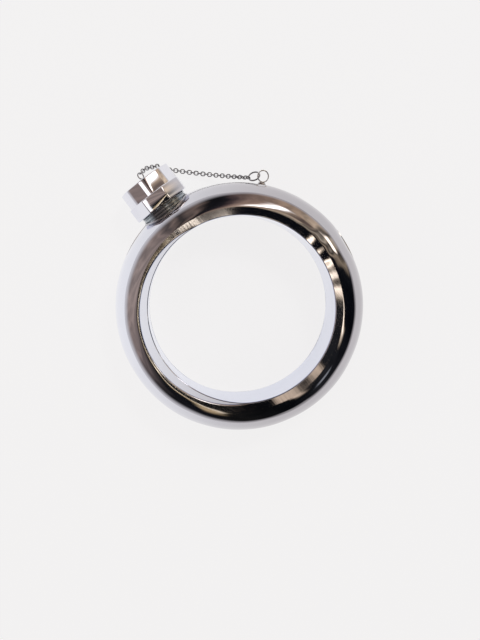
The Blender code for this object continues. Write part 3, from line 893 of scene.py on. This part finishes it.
roomLook = {
    # colour by azimuth, counted from the right
    "around": (
        (0, (0.004, 0.005, 0.008)), (14, (0.010, 0.012, 0.016)), (20, (0.45, 0.37, 0.27)),
        (24, (0.03, 0.03, 0.03)),
        (29, (0.66, 0.58, 0.46)), (34, (0.10, 0.09, 0.08)), (40, (0.66, 0.54, 0.41)), (56, (0.50, 0.38, 0.28)),
        (78, (0.36, 0.26, 0.21)), (90, (0.10, 0.07, 0.07)), (96, (0.012, 0.012, 0.015)),
        (108, (0.010, 0.010, 0.012)), (114, (0.19, 0.14, 0.12)), (122, (0.045, 0.04, 0.04)),
        (127, (0.20, 0.15, 0.13)),
        (131, (0.07, 0.06, 0.06)), (138, (0.25, 0.195, 0.175)), (165, (0.31, 0.25, 0.23)),
        (192, (0.29, 0.23, 0.21)),
        (215, (0.17, 0.135, 0.13)), (229, (0.055, 0.045, 0.045)), (241, (0.010, 0.010, 0.012)),
        (256, (0.006, 0.007, 0.010)), (272, (0.010, 0.010, 0.010)), (300, (0.004, 0.005, 0.007)),
        (318, (0.020, 0.022, 0.026)), (345, (0.005, 0.006, 0.009)), (360, (0.004, 0.005, 0.008)),
    ),
    # bright and golden reaches: azimuth, half its width, lowest and highest elevation, colour
    "glints": (
        (65, 10, 36, 84, (1.9, 1.8, 1.7)), (64, 5, 40, 84, (4.0, 3.9, 3.8)),
        (29, 6, 22, 42, (3.0, 2.7, 2.3)),
        (263, 9, 36, 120, (0.62, 0.47, 0.28)), (268, 2.5, 50, 120, (1.6, 1.4, 1.1)),
        (336, 7, 54, 120, (1.5, 1.27, 0.97)),
        (337, 2.5, 60, 120, (3.2, 2.9, 2.5)), (305, 5, 50, 120, (1.0, 0.82, 0.64)),
        (317, 6, 34, 48, (0.30, 0.33, 0.37)),
        (300, 14, 2, 16, (0.30, 0.30, 0.31)), (46, 12, 40, 74, (0.17, 0.13, 0.11)),
    ),
    "nearHorizon": (0.62, 0.60, 0.61), "reach": 14.0, "reachMore": 16.0, "sheet": 0.88, "plain": 0.42,
    "wander": 0.045, "glintSoftness": 0.3, "fan": 46.0, "streaks": ((0.72, 0.72, 0.72), (1.35, 1.31, 1.26)),
}
sheetLook = {"side": 3.0, "below": 0.00005, "colour": (0.18, 0.18, 0.18, 1), "glow": (0.81, 0.80, 0.80, 1)}


def makeSheet():
    look = sheetLook
    bpy.ops.mesh.primitive_plane_add(size=look["side"], location=(0, 0, rearLow.z - look["below"]))
    sheet = bpy.context.object
    sheet.name = "sheet"
    material = bpy.data.materials.new("sheetPaper")
    material.use_nodes = True
    shader = material.node_tree.nodes["Principled BSDF"]
    for socket, value in (
        ("Base Color", look["colour"]), ("Roughness", 0.9), ("Specular IOR Level", 0.0),
        ("Emission Color", look["glow"]), ("Emission Strength", 1.0),
    ):
        shader.inputs[socket].default_value = value
    sheet.data.materials.append(material)


def makeRoom():
    look = roomLook
    world = bpy.data.worlds.new("room")
    bpy.context.scene.world = world
    world.use_nodes = True
    world.node_tree.nodes.clear()
    shade = Shade(world.node_tree)
    outwards = shade.node("ShaderNodeTexCoord")
    turned = shade.node("ShaderNodeMapping", None, {"Vector": outwards, "Rotation": (0, 0, viewTurn)})
    x, y, z = shade.split(turned)
    wander = (shade.noise(turned, 2.2) - 0.5) * look["wander"]
    azimuth = shade.maths("FRACT", shade.maths("ARCTAN2", y, x) * (1 / math.tau) + 1.0 + wander)
    elevation = shade.maths("ARCSINE", z) * (180 / math.pi)
    stops = [(place / 360, colour) for place, colour in look["around"]]
    colour = shade.node("ShaderNodeValToRGB", {"stops": stops}, {"Fac": azimuth})
    for place, half, low, high, tint in look["glints"]:
        away = shade.maths("ABSOLUTE", azimuth - place / 360)
        near = shade.smooth(away * -1.0, -half / 360, -0.25 * half / 360)
        soft = look["glintSoftness"] * (high - low)
        above = shade.smooth(elevation, low, low + soft)
        below = shade.smooth(elevation * -1.0, -high, soft - high)
        colour = shade.mix(near * above * below, colour, tint)
    fan = shade.node("ShaderNodeCombineXYZ", None, {"X": azimuth * look["fan"], "Y": elevation * 0.02})
    streaks = shade.smooth(shade.noise(fan, 1.0, 3.0), 0.3, 0.75)
    colour = shade.vectors("MULTIPLY", colour, shade.mix(streaks, *look["streaks"]))
    # the light low down reaches higher on the left
    reach = shade.smooth(x * -1.0, -0.3, 0.6) * look["reachMore"] + look["reach"]
    low = shade.maths("MINIMUM", shade.maths("DIVIDE", elevation, reach), 1.0)
    colour = shade.mix(shade.smooth(low * -1.0, -1.0, 0.0), colour, look["nearHorizon"])
    mirrored = shade.node("ShaderNodeBackground", None, {"Color": colour, "Strength": 1.0})
    white = (look["sheet"], look["sheet"], look["sheet"], 1)
    plain = shade.node("ShaderNodeBackground", None, {"Color": white, "Strength": look["plain"]})
    isMirror = shade.node("ShaderNodeLightPath", output="Is Glossy Ray")
    mixed = shade.node("ShaderNodeMixShader", None, {0: isMirror, 1: plain, 2: mirrored})
    shade.node("ShaderNodeOutputWorld", None, {0: mixed})


lightLook = {
    "window": {"azimuth": 62, "height": 56, "away": 1.3, "size": (0.34, 0.20), "power": 1.6},
    "fill": {"azimuth": 190, "height": 24, "away": 1.6, "size": (0.7, 0.5), "power": 1.0},
}
capLight = {"azimuth": 213, "height": 62, "away": 0.30, "size": (0.16, 0.20), "power": 0.12}


def areaLamp(name, look):
    data = bpy.data.lights.new(name, "AREA")
    data.shape = "RECTANGLE"
    data.size, data.size_y = look["size"]
    data.energy = look["power"]
    lamp = bpy.data.objects.new(name, data)
    bpy.context.scene.collection.objects.link(lamp)
    turn, rise = math.radians(look["azimuth"]), math.radians(look["height"])
    level = viewRight * math.cos(turn) + viewUp * math.sin(turn)
    return lamp, level * math.cos(rise) + Vector((0, 0, math.sin(rise)))


def makeLights():
    # a small strip that only the cap mirrors, along its faces
    lamp, aim = areaLamp("capStrip", capLight)
    side = Vector((0, 1, 0)).cross(aim).normalized()
    place = Matrix((side, aim.cross(side), aim)).transposed().to_4x4()
    place.translation = Vector((0, (capLow.y + capHigh.y) / 2, capHigh.z)) + aim * capLight["away"]
    lamp.matrix_world = place
    lit = bpy.data.collections.new("litByStrip")
    lit.objects.link(bpy.data.objects["capShell"])
    lamp.light_linking.receiver_collection = lit
    for name, look in lightLook.items():
        lamp, aim = areaLamp(name, look)
        lamp.visible_glossy = False
        lamp.location = centre + aim * look["away"]
        lamp.rotation_euler = aim.to_track_quat("Z", "Y").to_euler()


makeSheet()
makeRoom()
makeLights()
bpy.context.scene.view_settings.view_transform = "Standard"
print("sheet, room and light are set")
